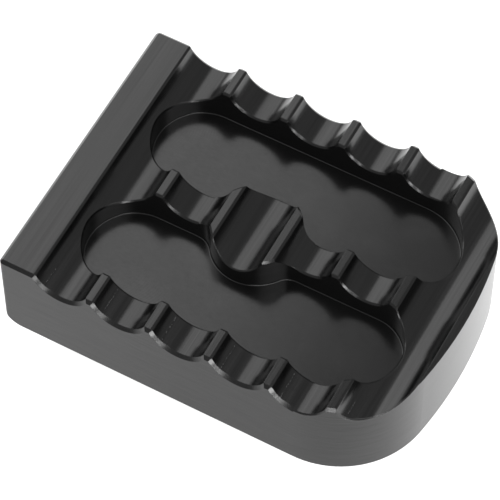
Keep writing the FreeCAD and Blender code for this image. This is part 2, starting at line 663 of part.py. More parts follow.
def spring_centre_line():
    """Points along the wire: bracket leg, coil, arm leg, then the hook bent into the arm."""
    turn = SPRING_TURNS * 360 + SPRING_END_ANGLE - SPRING_START_ANGLE
    first_y = GAP_HALF - SPRING_END_GAP - SPRING_WIRE_RADIUS
    steps = round(turn / SPRING_STEP_DEGREES)
    coil = []
    for index in range(steps + 1):
        wound = turn * index / steps
        on_coil = polar(SPRING_START_ANGLE + wound, SPRING_COIL_RADIUS)
        coil.append(on_coil + Y_AXIS * (first_y - SPRING_PITCH * wound / 360))
    back = spring_leg_vector(SPRING_START_ANGLE, -1)
    first_leg = [coil[0] + back * (share / 4) for share in (4, 3, 2, 1)]
    out = spring_leg_vector(SPRING_END_ANGLE, 1).normalize()
    straight = SPRING_LEG - SPRING_BEND_RADIUS
    second_leg = [coil[-1] + out * (straight * share / 3) for share in (1, 2, 3)]
    bend_centre = second_leg[-1] - Y_AXIS * SPRING_BEND_RADIUS
    bend = []
    for step in range(1, 7):
        angle = math.radians(15 * step)
        reach = out * math.sin(angle) + Y_AXIS * math.cos(angle)
        bend.append(bend_centre + reach * SPRING_BEND_RADIUS)
    tip = Vector(bend[-1].x, TONGUE_REAR_Y - SPRING_HOOK + 0.5, bend[-1].z)
    return first_leg + coil + second_leg + bend + [(bend[-1] + tip) * 0.5, tip]


def return_spring():
    """Torsion spring: its first leg presses on the bracket's floor, its hook sits in the arm."""
    curve = Part.BSplineCurve()
    curve.interpolate(spring_centre_line())
    start = curve.FirstParameter
    section = Part.makeCircle(SPRING_WIRE_RADIUS, curve.value(start), curve.tangent(start)[0])
    return Part.Wire(curve.toShape()).makePipeShell([Part.Wire(section)], True, False)


# ---- Bracket ---------------------------------------------------------------------------------

def bracket_side_profile():
    """Ears and base seen along the pin: round at the pin, sloping down to a narrow foot."""
    foot = Vector(BASE_FOOT_X, 0, -BASE_LOBE_RADIUS)
    from_pin = foot - at_pin(0, 0)
    bearing = math.degrees(math.atan2(from_pin.z, from_pin.x))
    leaves = bearing + math.degrees(math.acos(EAR_RADIUS / from_pin.Length))
    wall_top_z = PIVOT_Z + BACK_WALL_TOP
    ear_left_x = PIVOT_X - math.sqrt(EAR_RADIUS ** 2 - BACK_WALL_TOP ** 2)
    over = Part.Arc(Vector(ear_left_x, 0, wall_top_z), polar(90, EAR_RADIUS),
                    polar(leaves, EAR_RADIUS)).toShape()
    edges = [
        line(Vector(0, 0, -BASE_LOBE_RADIUS), Vector(0, 0, wall_top_z)),
        line(Vector(0, 0, wall_top_z), Vector(ear_left_x, 0, wall_top_z)),
        over,
        line(polar(leaves, EAR_RADIUS), foot),
        line(foot, Vector(0, 0, -BASE_LOBE_RADIUS)),
    ]
    face = Part.Face(Part.Wire(edges))
    profile = face.extrude(Y_AXIS * 2 * EAR_OUTER)
    profile.translate(Y_AXIS * -EAR_OUTER)
    return profile


def bracket_front_profile():
    """The shield shape seen along the peg: ear width above, a round lobe about the bolt below."""
    shoulder = Vector(0, EAR_OUTER, PIVOT_Z - SHOULDER_DROP)
    bearing = math.degrees(math.atan2(shoulder.z, shoulder.y))
    angle = bearing - math.degrees(math.acos(BASE_LOBE_RADIUS / shoulder.Length))
    touch = Vector(0, BASE_LOBE_RADIUS * math.cos(math.radians(angle)),
                   BASE_LOBE_RADIUS * math.sin(math.radians(angle)))
    top_z = PIVOT_Z + EAR_RADIUS + 1
    mirrored = [Vector(0, -p.y, p.z) for p in (shoulder, touch)]
    lobe = Part.Arc(mirrored[1], Vector(0, 0, -BASE_LOBE_RADIUS), touch).toShape()
    edges = [
        lobe,
        line(touch, shoulder),
        line(shoulder, Vector(0, EAR_OUTER, top_z)),
        line(Vector(0, EAR_OUTER, top_z), Vector(0, -EAR_OUTER, top_z)),
        line(Vector(0, -EAR_OUTER, top_z), mirrored[0]),
        line(mirrored[0], mirrored[1]),
    ]
    return Part.Face(Part.Wire(edges)).extrude(X_AXIS * BIG / 4)


def is_gap_corner(edge):
    """True for the two edges where the ears meet the floor between them."""
    bounds = edge.BoundBox
    level = bounds.ZLength < 1e-6 and abs(bounds.ZMin - PIVOT_Z - GAP_FLOOR) < 1e-6
    return level and bounds.YLength < 1e-6 and abs(abs(bounds.YMin) - GAP_HALF) < 1e-6


def clevis_bracket():
    body = bracket_side_profile().common(bracket_front_profile())
    body = body.removeSplitter()
    body = body.makeFillet(BRACKET_EDGE_RADIUS, body.Edges)
    floor_z = PIVOT_Z + GAP_FLOOR
    gap = box((BACK_WALL, BIG), (-GAP_HALF, GAP_HALF), (floor_z, BIG))
    body = body.cut(gap).removeSplitter()
    floor_corners = edges_where(body, is_gap_corner)
    body = body.makeFillet(GAP_FLOOR_FILLET, floor_corners)
    body = body.cut(along_pin(PIN_RADIUS + RUNNING_CLEARANCE, -BIG, BIG))
    body = body.cut(cylinder(MOUNT_THREAD_RADIUS, MOUNT_THREAD_DEPTH, Vector(0, 0, 0), X_AXIS))
    dowel_base = Vector(0, 0, PIVOT_Z - MOUNT_DOWEL_DROP)
    return body.cut(cylinder(MOUNT_DOWEL_RADIUS, BACK_WALL, dowel_base, X_AXIS))


# ---- All the nodes ---------------------------------------------------------------------------

def main():
    os.makedirs("parts", exist_ok=True)
    save(platform(), "platform")
    save(peg_arm(), "peg_arm")
    save(centre_bolt(), "centre_bolt")
    save(centre_bolt_washer(), "centre_bolt_washer")
    save(both_sides(arm_screw), "arm_screws")
    save(both_sides(arm_screw_washer), "arm_screw_washers")
    save(both_sides(locating_dowel), "locating_dowels")
    save(pivot_bush(TONGUE_FRONT_Y, 1), "front_pivot_bush")
    save(pivot_bush(TONGUE_REAR_Y, -1), "rear_pivot_bush")
    save(pivot_pin(), "pivot_pin")
    save(pin_washer(), "pin_washer")
    save(split_pin(), "split_pin")
    save(spring_sleeve(), "spring_sleeve")
    save(return_spring(), "return_spring")
    save(clevis_bracket(), "clevis_bracket")


main()
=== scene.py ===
import math

import bmesh
import bpy
from mathutils import Matrix, Vector


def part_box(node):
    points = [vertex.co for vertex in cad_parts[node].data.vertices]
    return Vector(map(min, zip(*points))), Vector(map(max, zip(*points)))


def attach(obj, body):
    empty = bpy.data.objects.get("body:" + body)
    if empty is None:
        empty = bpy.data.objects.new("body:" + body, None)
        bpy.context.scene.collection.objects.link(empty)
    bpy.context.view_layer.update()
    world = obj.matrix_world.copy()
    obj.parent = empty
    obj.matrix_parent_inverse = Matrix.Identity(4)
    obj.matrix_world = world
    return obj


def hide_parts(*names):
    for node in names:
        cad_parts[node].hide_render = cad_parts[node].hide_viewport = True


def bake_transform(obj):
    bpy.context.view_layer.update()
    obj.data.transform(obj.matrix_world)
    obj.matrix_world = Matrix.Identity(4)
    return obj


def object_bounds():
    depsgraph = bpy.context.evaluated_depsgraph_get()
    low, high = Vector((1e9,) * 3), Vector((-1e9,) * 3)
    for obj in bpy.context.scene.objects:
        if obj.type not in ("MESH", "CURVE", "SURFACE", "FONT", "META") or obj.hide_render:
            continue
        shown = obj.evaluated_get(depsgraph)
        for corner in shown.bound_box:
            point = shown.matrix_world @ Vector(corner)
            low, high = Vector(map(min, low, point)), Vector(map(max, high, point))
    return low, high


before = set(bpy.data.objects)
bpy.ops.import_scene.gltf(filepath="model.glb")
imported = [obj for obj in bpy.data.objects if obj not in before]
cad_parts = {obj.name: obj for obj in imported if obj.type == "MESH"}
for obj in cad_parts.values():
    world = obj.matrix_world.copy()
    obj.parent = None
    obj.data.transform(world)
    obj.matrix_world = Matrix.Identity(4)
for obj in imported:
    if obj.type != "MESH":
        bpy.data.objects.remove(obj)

bpy.context.view_layer.update()
cad_low, cad_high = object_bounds()

# Everything is in metres, in the part's own frame. Material settings are in millimetres, because
# each material reads its coordinates through mm_coordinates().

MM = 0.001
SHARPEST_EDGE = 0.75        # cosine between a sharp edge's face and its rounded normal, fully worn


# ---- Node helpers ----------------------------------------------------------------------------

class Graph:
    """A material's or world's node tree, built with short calls that return output sockets."""

    def __init__(self, tree):
        self.tree = tree
        tree.nodes.clear()

    def node(self, kind, inputs=None, **settings):
        made = self.tree.nodes.new(kind)
        for key, value in settings.items():
            setattr(made, key, value)
        for key, value in (inputs or {}).items():
            self.feed(made.inputs[key], value)
        return made

    def feed(self, socket, value):
        if isinstance(value, bpy.types.NodeSocket):
            self.tree.links.new(value, socket)
        else:
            socket.default_value = value

    def math(self, operation, a, b=0.0):
        made = self.node("ShaderNodeMath", operation=operation)
        self.feed(made.inputs[0], a)
        self.feed(made.inputs[1], b)
        return made.outputs[0]

    def step(self, value, low, high):
        """0 at low and below, 1 at high and above, smooth between; low may be the larger."""
        made = self.node("ShaderNodeMapRange", {"Value": value}, interpolation_type="SMOOTHSTEP")
        if low <= high:
            made.inputs["From Min"].default_value = low
            made.inputs["From Max"].default_value = high
        else:
            made.inputs["From Min"].default_value = high
            made.inputs["From Max"].default_value = low
            made.inputs["To Min"].default_value = 1.0
            made.inputs["To Max"].default_value = 0.0
        return made.outputs["Result"]

    def mix(self, share, a, b):
        """A number between a and b."""
        made = self.node("ShaderNodeMix", data_type="FLOAT")
        for socket, value in zip((made.inputs[0], made.inputs[2], made.inputs[3]), (share, a, b)):
            self.feed(socket, value)
        return made.outputs[0]

    def mix_colour(self, share, a, b):
        made = self.node("ShaderNodeMix", data_type="RGBA")
        for socket, value in zip((made.inputs[0], made.inputs[6], made.inputs[7]), (share, a, b)):
            self.feed(socket, value)
        return made.outputs[2]

    def stretch(self, vector, scale):
        made = self.node("ShaderNodeVectorMath", {0: vector, 1: scale}, operation="MULTIPLY")
        return made.outputs[0]

    def noise(self, vector, scale, detail=2.0, roughness=0.5):
        made = self.node("ShaderNodeTexNoise", {"Vector": vector, "Scale": scale,
                                                "Detail": detail, "Roughness": roughness})
        return made.outputs["Fac"]

    def split(self, vector):
        made = self.node("ShaderNodeSeparateXYZ", {0: vector})
        return made.outputs[0], made.outputs[1], made.outputs[2]

    def bump(self, height, depth_mm, normal=None):
        """Depth is the height map's real relief in millimetres."""
        made = self.node("ShaderNodeBump", {"Height": height, "Distance": depth_mm * MM,
                                            "Strength": 1.0})
        if normal is not None:
            self.feed(made.inputs["Normal"], normal)
        return made.outputs[0]


def grey(value):
    return (value, value, value, 1.0)


def mm_coordinates(graph):
    coordinates = graph.node("ShaderNodeTexCoord")
    return graph.stretch(coordinates.outputs["Object"], (1 / MM,) * 3)


def face_normal(graph):
    return graph.node("ShaderNodeTexCoord").outputs["Normal"]


def rounded_normal(graph, radius_mm):
    """The surface's normal, as if every edge were rounded by this radius."""
    return graph.node("ShaderNodeBevel", {"Radius": radius_mm * MM}, samples=6).outputs[0]


def edge_mask(graph, radius_mm):
    """1 on edges, 0 on open faces."""
    sharp = graph.node("ShaderNodeNewGeometry").outputs["Normal"]
    dot = graph.node("ShaderNodeVectorMath", {0: rounded_normal(graph, radius_mm), 1: sharp},
                     operation="DOT_PRODUCT")
    return graph.step(dot.outputs["Value"], 1.0, SHARPEST_EDGE)


def worn_edges(graph, place, radius_mm, patch_noise, low, high):
    """Edges rubbed in patches: 1 where worn, 0 elsewhere."""
    patches = graph.step(graph.noise(place, *patch_noise), low, high)
    return graph.math("MULTIPLY", edge_mask(graph, radius_mm), patches)


def new_material(name):
    material = bpy.data.materials.new(name)
    material.use_nodes = True
    return material, Graph(material.node_tree)


def finish_surface(graph, **inputs):
    shader = graph.node("ShaderNodeBsdfPrincipled",
                        {key.replace("_", " "): value for key, value in inputs.items()})
    output = graph.node("ShaderNodeOutputMaterial")
    graph.feed(output.inputs["Surface"], shader.outputs[0])


# ---- Materials -------------------------------------------------------------------------------

OXIDE_INDEX = 1.77          # the clear oxide film of anodised aluminium
MEAN_MARK = 0.75            # average height of the cutter's marks
FILM_CONTRAST = 0.8         # how far the marks change the film's reflection


def black_anodised():
    """Milled, then black anodised: each kind of face keeps its cutter's marks under the film."""
    material, graph = new_material("black_anodised_milled")
    place = mm_coordinates(graph)
    x, y, z = graph.split(place)
    _, _, upward = graph.split(face_normal(graph))
    low, high = (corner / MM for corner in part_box("platform"))

    wall = graph.step(graph.math("ABSOLUTE", upward), 0.5, 0.2)
    floor = pocket_floor(graph, graph.math("SUBTRACT", high.z, z), upward)
    marks = graph.mix(wall, groove_marks(graph, place), wall_marks(graph, place))
    marks = graph.mix(floor, marks, floor_marks(graph, place, (high.y - low.y) / 4))

    grain = graph.noise(place, 14.0, 2.0, 0.7)
    clouds = graph.noise(place, 0.12, 2.0)
    roughness = graph.math("ADD", 0.14, graph.math("MULTIPLY", marks, 0.05))
    roughness = graph.math("ADD", roughness, graph.math("MULTIPLY", grain, 0.03))
    roughness = graph.math("ADD", roughness, graph.math("MULTIPLY", clouds, 0.03))

    # Lighter edges in patches: partly rubbed-through wear, partly a painted highlight for the thin
    # light lines along the sharp edges.
    worn = worn_edges(graph, place, 0.25, (1.4, 3.0, 0.7), 0.35, 0.75)
    colour = graph.mix_colour(graph.math("MULTIPLY", worn, 0.5), grey(0.0035), grey(0.06))
    scratch = graph.math("MULTIPLY", tool_scratch(graph, x, y, low, high),
                         graph.math("SUBTRACT", 1.0, wall))
    colour = graph.mix_colour(scratch, colour, grey(0.11))

    film = graph.math("MULTIPLY", graph.math("SUBTRACT", marks, MEAN_MARK), FILM_CONTRAST)
    film = graph.math("ADD", film, graph.mix(grain, 0.42, 0.58))
    bumped = graph.bump(marks, 0.0022, rounded_normal(graph, 0.12))
    bumped = graph.bump(grain, 0.0011, bumped)
    finish_surface(graph, Base_Color=colour, Roughness=roughness, IOR=OXIDE_INDEX,
                   Specular_IOR_Level=film, Normal=bumped)
    return material


def pocket_floor(graph, depth, upward):
    """1 on the level floors of the pockets, 0 on every other face of the platform."""
    floor = graph.math("MULTIPLY", graph.step(depth, 5.5, 7.0), graph.step(upward, 0.8, 0.95))
    return graph.math("MULTIPLY", floor, graph.step(depth, 9.5, 8.5))


def groove_marks(graph, place):
    """Long strokes across the platform, the way the grooves and the top were cut."""
    broad = graph.noise(graph.stretch(place, (9.0, 0.02, 9.0)), 1.0, 3.0, 0.65)
    fine = graph.noise(graph.stretch(place, (26.0, 0.06, 26.0)), 1.0, 2.0, 0.6)
    return graph.mix(0.8, MEAN_MARK, graph.math("ADD", broad, graph.math("MULTIPLY", fine, 0.5)))


def wall_marks(graph, place):
    """Level strokes that run round the outer and inner walls."""
    broad = graph.noise(graph.stretch(place, (0.10, 0.10, 3.2)), 1.0, 4.0, 0.65)
    fine = graph.noise(graph.stretch(place, (0.35, 0.35, 22.0)), 1.0, 2.0, 0.6)
    return graph.mix(0.6, MEAN_MARK, graph.math("ADD", broad, graph.math("MULTIPLY", fine, 0.5)))


def floor_marks(graph, place, quarter_width):
    """Arcs of an end mill's own radius, one for each step it was fed along X, and a fine smear."""
    cutter, feed, lane_offset = 9.0, 0.55, 0.7
    x, y, _ = graph.split(place)
    lane = graph.math("SUBTRACT", graph.math("ABSOLUTE", y), quarter_width + lane_offset)
    across = graph.math("MULTIPLY", lane, lane)
    along = graph.math("MAXIMUM", graph.math("SUBTRACT", cutter ** 2, across), 0.0)
    bow = graph.math("SQRT", along)
    phase = graph.math("MULTIPLY", graph.math("SUBTRACT", x, bow), 2 * math.pi / feed)
    swirl = graph.math("MULTIPLY", graph.math("ADD", graph.math("SINE", phase), 1.0), 0.5)
    swirl = graph.math("MULTIPLY", swirl, graph.step(graph.noise(place, 0.13, 2.0), 0.45, 0.75))
    smear = graph.noise(graph.stretch(place, (1.2, 5.0, 1.0)), 1.0, 4.0, 0.7)
    marks = graph.math("ADD", graph.math("MULTIPLY", swirl, 0.12),
                       graph.math("MULTIPLY", smear, 0.45))
    return graph.math("ADD", marks, 0.50)


def tool_scratch(graph, x, y, low, high):
    """A fine dotted line that the cutter left in each groove of the front wall."""
    pitch, first_groove, from_middle, wall = 11.8, 12.35, 3.3, 6.8
    phase = graph.math("SUBTRACT", x, low.x + first_groove - from_middle - pitch / 2)
    offset = graph.math("SUBTRACT", graph.math("FLOORED_MODULO", phase, pitch), pitch / 2)
    wander = graph.noise(graph.node("ShaderNodeCombineXYZ", {1: y}).outputs[0], 0.6, 2.0)
    offset = graph.math("ADD", offset, graph.math("MULTIPLY", wander, 0.25))
    line = graph.step(graph.math("ABSOLUTE", offset), 0.10, 0.03)
    plan = graph.node("ShaderNodeCombineXYZ", {0: x, 1: y}).outputs[0]
    dots = graph.step(graph.noise(plan, 3.0, 2.0), 0.50, 0.62)
    front_wall = graph.step(y, low.y + wall - 0.5, low.y + wall - 1.0)
    return graph.math("MULTIPLY", graph.math("MULTIPLY", line, dots), front_wall)


def milled_anodised():
    """The arm: the same film on coarser milling, a shade greyer."""
    material, graph = new_material("dark_anodised_milled")
    place = mm_coordinates(graph)
    strokes = graph.noise(graph.stretch(place, (0.25, 5.0, 5.0)), 1.0, 3.0, 0.65)
    grain = graph.noise(place, 9.0, 2.0, 0.7)
    worn = worn_edges(graph, place, 0.35, (1.1, 3.0, 0.7), 0.4, 0.7)
    colour = graph.mix_colour(strokes, grey(0.010), grey(0.020))
    colour = graph.mix_colour(worn, colour, grey(0.22))
    roughness = graph.math("ADD", 0.28, graph.math("MULTIPLY", strokes, 0.12))
    bumped = graph.bump(strokes, 0.004, rounded_normal(graph, 0.2))
    bumped = graph.bump(grain, 0.0015, bumped)
    finish_surface(graph, Base_Color=colour, Roughness=roughness, IOR=OXIDE_INDEX, Normal=bumped)
    return material


def powder_coat():
    """The bracket: fine-textured black powder coat, rubbed through a little on its edges."""
    material, graph = new_material("black_powder_coat")
    place = mm_coordinates(graph)
    pebbles = graph.noise(place, 1.7, 3.0, 0.55)
    dust = graph.noise(place, 0.25, 3.0)
    worn = worn_edges(graph, place, 0.5, (1.6, 4.0, 0.7), 0.52, 0.66)
    colour = graph.mix_colour(dust, grey(0.010), grey(0.022))
    colour = graph.mix_colour(worn, colour, grey(0.30))
    roughness = graph.mix(graph.step(pebbles, 0.3, 0.7), 0.34, 0.52)
    bumped = graph.bump(pebbles, 0.16)
    finish_surface(graph, Base_Color=colour, Roughness=roughness, Metallic=worn, IOR=1.5,
                   Normal=bumped)
    return material


def bare_metal(name, base, roughness, strokes_scale, pits=0.0, tarnish=0.25):
    """Bare or plated metal: finishing strokes, patchy tarnish and, if asked for, small pores."""
    material, graph = new_material(name)
    place = mm_coordinates(graph)
    strokes = graph.noise(graph.stretch(place, strokes_scale), 1.0, 3.0, 0.6)
    patches = graph.noise(place, 0.55, 4.0, 0.65)
    shade = graph.math("MULTIPLY", graph.step(patches, 0.42, 0.75), tarnish)
    dark = tuple(channel * 0.45 for channel in base[:3]) + (1.0,)
    colour = graph.mix_colour(shade, base, dark)
    rough = graph.math("ADD", roughness, graph.math("MULTIPLY", strokes, 0.10))
    rough = graph.math("ADD", rough, graph.math("MULTIPLY", shade, 0.3))
    bumped = graph.bump(strokes, 0.002, rounded_normal(graph, 0.1))
    if pits:
        pores = graph.node("ShaderNodeTexVoronoi", {"Vector": place, "Scale": 3.2})
        open_pore = graph.step(pores.outputs["Distance"], 0.22, 0.10)
        colour = graph.mix_colour(graph.math("MULTIPLY", open_pore, pits), colour, dark)
        bumped = graph.bump(graph.math("SUBTRACT", 1.0, open_pore), 0.01, bumped)
    finish_surface(graph, Base_Color=colour, Roughness=rough, Metallic=1.0, Normal=bumped)
    return material


def black_oxide():
    """Screws: oil-black heat-treated steel with a faint brown cast."""
    material, graph = new_material("black_oxide_steel")
    place = mm_coordinates(graph)
    patches = graph.noise(place, 0.8, 3.0, 0.6)
    grain = graph.noise(place, 12.0, 2.0)
    worn = worn_edges(graph, place, 0.2, (2.0, 3.0), 0.4, 0.7)
    colour = graph.mix_colour(patches, (0.020, 0.018, 0.017, 1.0), (0.045, 0.040, 0.036, 1.0))
    colour = graph.mix_colour(worn, colour, grey(0.25))
    roughness = graph.math("ADD", 0.30, graph.math("MULTIPLY", grain, 0.15))
    finish_surface(graph, Base_Color=colour, Roughness=roughness, Metallic=0.7,
                   Normal=graph.bump(grain, 0.002))
    return material


EVERY_WAY = (4.0, 4.0, 4.0)
AROUND_PIN = (0.6, 7.0, 0.6)        # rings about the hinge pin

materials = {
    "black_anodised": black_anodised(),
    "dark_anodised": milled_anodised(),
    "bracket_paint": powder_coat(),
    "black_oxide": black_oxide(),
    "zinc_steel": bare_metal("bright_zinc_plate", (0.60, 0.62, 0.65, 1.0), 0.26, EVERY_WAY),
    "ground_steel": bare_metal("ground_steel", (0.56, 0.55, 0.53, 1.0), 0.16, AROUND_PIN),
    "bronze": bare_metal("sintered_bronze", (0.58, 0.36, 0.17, 1.0), 0.30, AROUND_PIN, pits=0.7),
    "spring_steel": bare_metal("spring_steel", (0.30, 0.30, 0.31, 1.0), 0.26, EVERY_WAY,
                               tarnish=0.5),
}

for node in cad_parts.values():
    for slot in node.material_slots:
        slot.material = materials[slot.material.name.split(".")[0]]


# ---- Return spring ---------------------------------------------------------------------------

WIRE_RADIUS = 0.8 * MM
WIRE_SIDES = 20
COIL_RADIUS, COIL_PITCH, COIL_TURNS = 7.2 * MM, 1.75 * MM, 2
COIL_START, COIL_END = 300.0, 315.0     # bracket end and arm end, degrees
COIL_STEPS = 98
LEG, LEG_STEPS, ARM_LEG_STEPS = 9.0 * MM, 8, 6
BEND, BEND_STEPS = 2.0 * MM, 8          # the arm leg's bend into its hook


def pin_axis():
    low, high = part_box("pivot_pin")
    return (low + high) / 2


def about_pin(angle_degrees, radius, y):
    """A point about the hinge pin; the angle runs from +X towards +Z."""
    angle, pin = math.radians(angle_degrees), pin_axis()
    return Vector((pin.x + radius * math.cos(angle), y, pin.z + radius * math.sin(angle)))


def spring_path():
    """Bracket leg, coil, arm leg and hook, with the y at which the coil starts and ends."""
    low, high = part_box("return_spring")
    turn = COIL_TURNS * 360 + COIL_END - COIL_START
    first_y = high.y - WIRE_RADIUS
    last_y = first_y - COIL_PITCH * turn / 360
    coil = []
    for step in range(COIL_STEPS + 1):
        turned = turn * step / COIL_STEPS
        coil.append(about_pin(COIL_START + turned, COIL_RADIUS, first_y - COIL_PITCH * turned / 360))

    hub = about_pin(0, 0.0, 0)
    along_first = about_pin(COIL_START - 90, 1.0, 0) - hub
    along_last = about_pin(COIL_END + 90, 1.0, 0) - hub
    first_leg = [coil[0] + along_first * LEG * step / LEG_STEPS for step in range(LEG_STEPS, 0, -1)]
    last_leg = [coil[-1] + along_last * (LEG - BEND) * step / ARM_LEG_STEPS
                for step in range(1, ARM_LEG_STEPS + 1)]

    centre = last_leg[-1] - Vector((0, BEND, 0))
    hook = []
    for step in range(1, BEND_STEPS + 1):
        angle = math.radians(90 * step / BEND_STEPS)
        hook.append(centre + along_last * BEND * math.sin(angle)
                    + Vector((0, BEND * math.cos(angle), 0)))
    tip = Vector((hook[-1].x, low.y, hook[-1].z))
    hook += [hook[-1].lerp(tip, share) for share in (0.33, 0.66, 1.0)]
    return first_leg + coil + last_leg + hook, first_y, last_y


def sweep(name, path, radius):
    """A round wire along a path, with flat ends."""
    mesh = bmesh.new()
    side = Vector((0, 1, 0))
    rings = []
    for index, point in enumerate(path):
        ahead = path[min(index + 1, len(path) - 1)] - path[max(index - 1, 0)]
        ahead.normalize()
        side = (side - ahead * side.dot(ahead)).normalized()
        other = ahead.cross(side)
        ring = []
        for step in range(WIRE_SIDES):
            angle = 2 * math.pi * step / WIRE_SIDES
            ring.append(mesh.verts.new(point + (side * math.cos(angle)
                                                + other * math.sin(angle)) * radius))
        rings.append(ring)
    join_rings(mesh, rings)
    return mesh_object(name, mesh)


def join_rings(mesh, rings):
    """Faces between each ring and the next, and a flat face on each end."""
    for lower, upper in zip(rings, rings[1:]):
        for step in range(len(lower)):
            after = (step + 1) % len(lower)
            mesh.faces.new((lower[step], lower[after], upper[after], upper[step]))
    mesh.faces.new(list(reversed(rings[0])))
    mesh.faces.new(rings[-1])


def mesh_object(name, mesh):
    bmesh.ops.recalc_face_normals(mesh, faces=mesh.faces)
    data = bpy.data.meshes.new(name)
    mesh.to_mesh(data)
    mesh.free()
    data.shade_smooth()
    made = bpy.data.objects.new(name, data)
    bpy.context.scene.collection.objects.link(made)
    return made


def dress(piece, node, slot):
    """The piece stands for a CAD node and takes its finish."""
    piece.data.materials.append(materials[slot])
    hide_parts(node)


def build_spring():
    path, first_y, last_y = spring_path()
    spring = sweep("return_spring_wire", path, WIRE_RADIUS)
    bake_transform(spring)
    dress(spring, "return_spring", "spring_steel")


# ---- Socket screws ---------------------------------------------------------------------------

SCREW_SIDES = 144
KNURL_TEETH = 36
KNURL_DEPTH = 0.022         # share of the head's radius
HEAD_BEVEL = 0.1            # share of the head's radius
SOCKET_DEPTH = 0.6          # share of the head's height
THREAD_DEPTH = 0.55         # share of the thread's pitch
PLAIN_SHANK = 2             # thread pitches between the head and the thread
RINGS_PER_TURN = 8


class ScrewSize:
    """A socket head screw's sizes; key is its socket, across flats."""

    def __init__(self, radius, pitch, head_radius, head_height, key):
        self.radius, self.pitch, self.key = radius, pitch, key
        self.head_radius, self.head_height = head_radius, head_height


def ring_at(mesh, centre, z, radius_at):
    ring = []
    for step in range(SCREW_SIDES):
        angle = 2 * math.pi * step / SCREW_SIDES
        radius = radius_at(angle)
        ring.append(mesh.verts.new((centre.x + radius * math.cos(angle),
                                    centre.y + radius * math.sin(angle), z)))
    return ring


def hexagon(across_flats):
    """Distance from the middle to a hexagon's side, as a function of the angle."""
    def radius_at(angle):
        within = (angle + math.pi / 6) % (math.pi / 3) - math.pi / 6
        return across_flats / 2 / math.cos(math.pi / 6 - abs(within))
    return radius_at


def circle(radius):
    return lambda angle: radius


def knurled(radius, depth):
    return lambda angle: radius - depth * (0.5 + 0.5 * math.cos(KNURL_TEETH * angle))


def threaded(size, z, grown, left):
    """The thread's outline at one height; it grows out of the shank and tapers at the point."""
    def radius_at(angle):
        turn = (z / size.pitch - angle / (2 * math.pi)) % 1.0
        return size.radius - THREAD_DEPTH * size.pitch * max(grown * abs(2 * turn - 1), 1 - left)
    return radius_at


def add_screw(mesh, centre, low_z, high_z, size):
    """A socket head screw, head down: knurled head, hexagon socket, helical thread."""
    head = size.head_radius
    knurl, bevel = KNURL_DEPTH * head, HEAD_BEVEL * head
    under_head = low_z + size.head_height
    outlines = [(low_z + size.head_height * SOCKET_DEPTH, hexagon(size.key)),
                (low_z, hexagon(size.key)),
                (low_z, circle(head - bevel)),
                (low_z + bevel, circle(head - knurl)),
                (low_z + bevel * 1.6, knurled(head, knurl)),
                (under_head - bevel * 0.8, knurled(head, knurl)),
                (under_head - bevel * 0.4, circle(head - knurl)),
                (under_head, circle(head - knurl * 2)),
                (under_head, circle(size.radius))]
    start = under_head + PLAIN_SHANK * size.pitch
    count = int((high_z - start) / size.pitch * RINGS_PER_TURN)
    for index in range(count + 1):
        z = start + (high_z - start) * index / count
        grown = min(1.0, index / RINGS_PER_TURN)
        left = min(1.0, (high_z - z) / size.pitch)
        outlines.append((z, threaded(size, z, grown, left)))
    join_rings(mesh, [ring_at(mesh, centre, z, radius_at) for z, radius_at in outlines])


def build_screws():
    """The M8 bolt in the middle and the two M6 screws beside the tongue."""
    low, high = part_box("centre_bolt")
    mesh = bmesh.new()
    m8 = ScrewSize(radius=4.0 * MM, pitch=1.25 * MM, head_radius=6.5 * MM, head_height=8.0 * MM,
                   key=6.0 * MM)
    add_screw(mesh, (low + high) / 2, low.z, high.z, m8)
    finish_screws("centre_bolt_knurled", mesh, "centre_bolt")

    low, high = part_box("arm_screws")
    mesh = bmesh.new()
    m6 = ScrewSize(radius=3.0 * MM, pitch=1.0 * MM, head_radius=(high.x - low.x) / 2,
                   head_height=6.0 * MM, key=5.0 * MM)
    for y in (low.y + m6.head_radius, high.y - m6.head_radius):
        add_screw(mesh, Vector(((low.x + high.x) / 2, y, 0)), low.z, high.z, m6)
    finish_screws("arm_screws_knurled", mesh, "arm_screws")


def finish_screws(name, mesh, node):
    piece = mesh_object(name, mesh)
    piece.data.set_sharp_from_angle(angle=math.radians(35))
    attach(piece, "peg")
    dress(piece, node, "black_oxide")


build_spring()
build_screws()


# ---- Floor, light and camera -----------------------------------------------------------------

FLOOR_SIZE = 6.0
SEEN_FLOOR = 0.85           # the floor's glow for the camera; the peg sees the uneven one
GLINT_SPOT = (180.0, -140.0)            # on the floor, in front and outboard, mm

# The back ends of the sloping panels' edges, mm: low on the left, half way, over the peg.
PANEL_EDGES = ((-450, 560, 168), (-250, 560, 301), (-50, 560, 434))
PANEL_RADIANCES = (("panel_left_low", 0.82), ("panel_left_high", 0.93))
PANEL_DEPTH = 0.60

# Name, azimuth, elevation, distance, width, height, radiance.
FACING_PANELS = (("strip_front_right", 46, 5, 0.45, 0.11, 0.12, 7.0),
                 ("soft_front_right", 24, 8, 0.46, 0.20, 0.13, 2.4),
                 ("glint_front", 34, 31, 0.50, 0.26, 0.07, 5.0),
                 ("wide_right", 76, 53, 0.60, 0.52, 0.26, 1.7))

ROOM_LIGHT = 0.25
CAMERA_AZIMUTH, CAMERA_ELEVATION = 28.58, 58.01
CAMERA_DISTANCE = 0.56783
SENSOR_WIDTH, FOCAL_LENGTH = 36.0, 227.25
AIM_OFFSET = Vector((-3.7, -0.5, 1.0)) * MM     # from the platform's middle to the aim


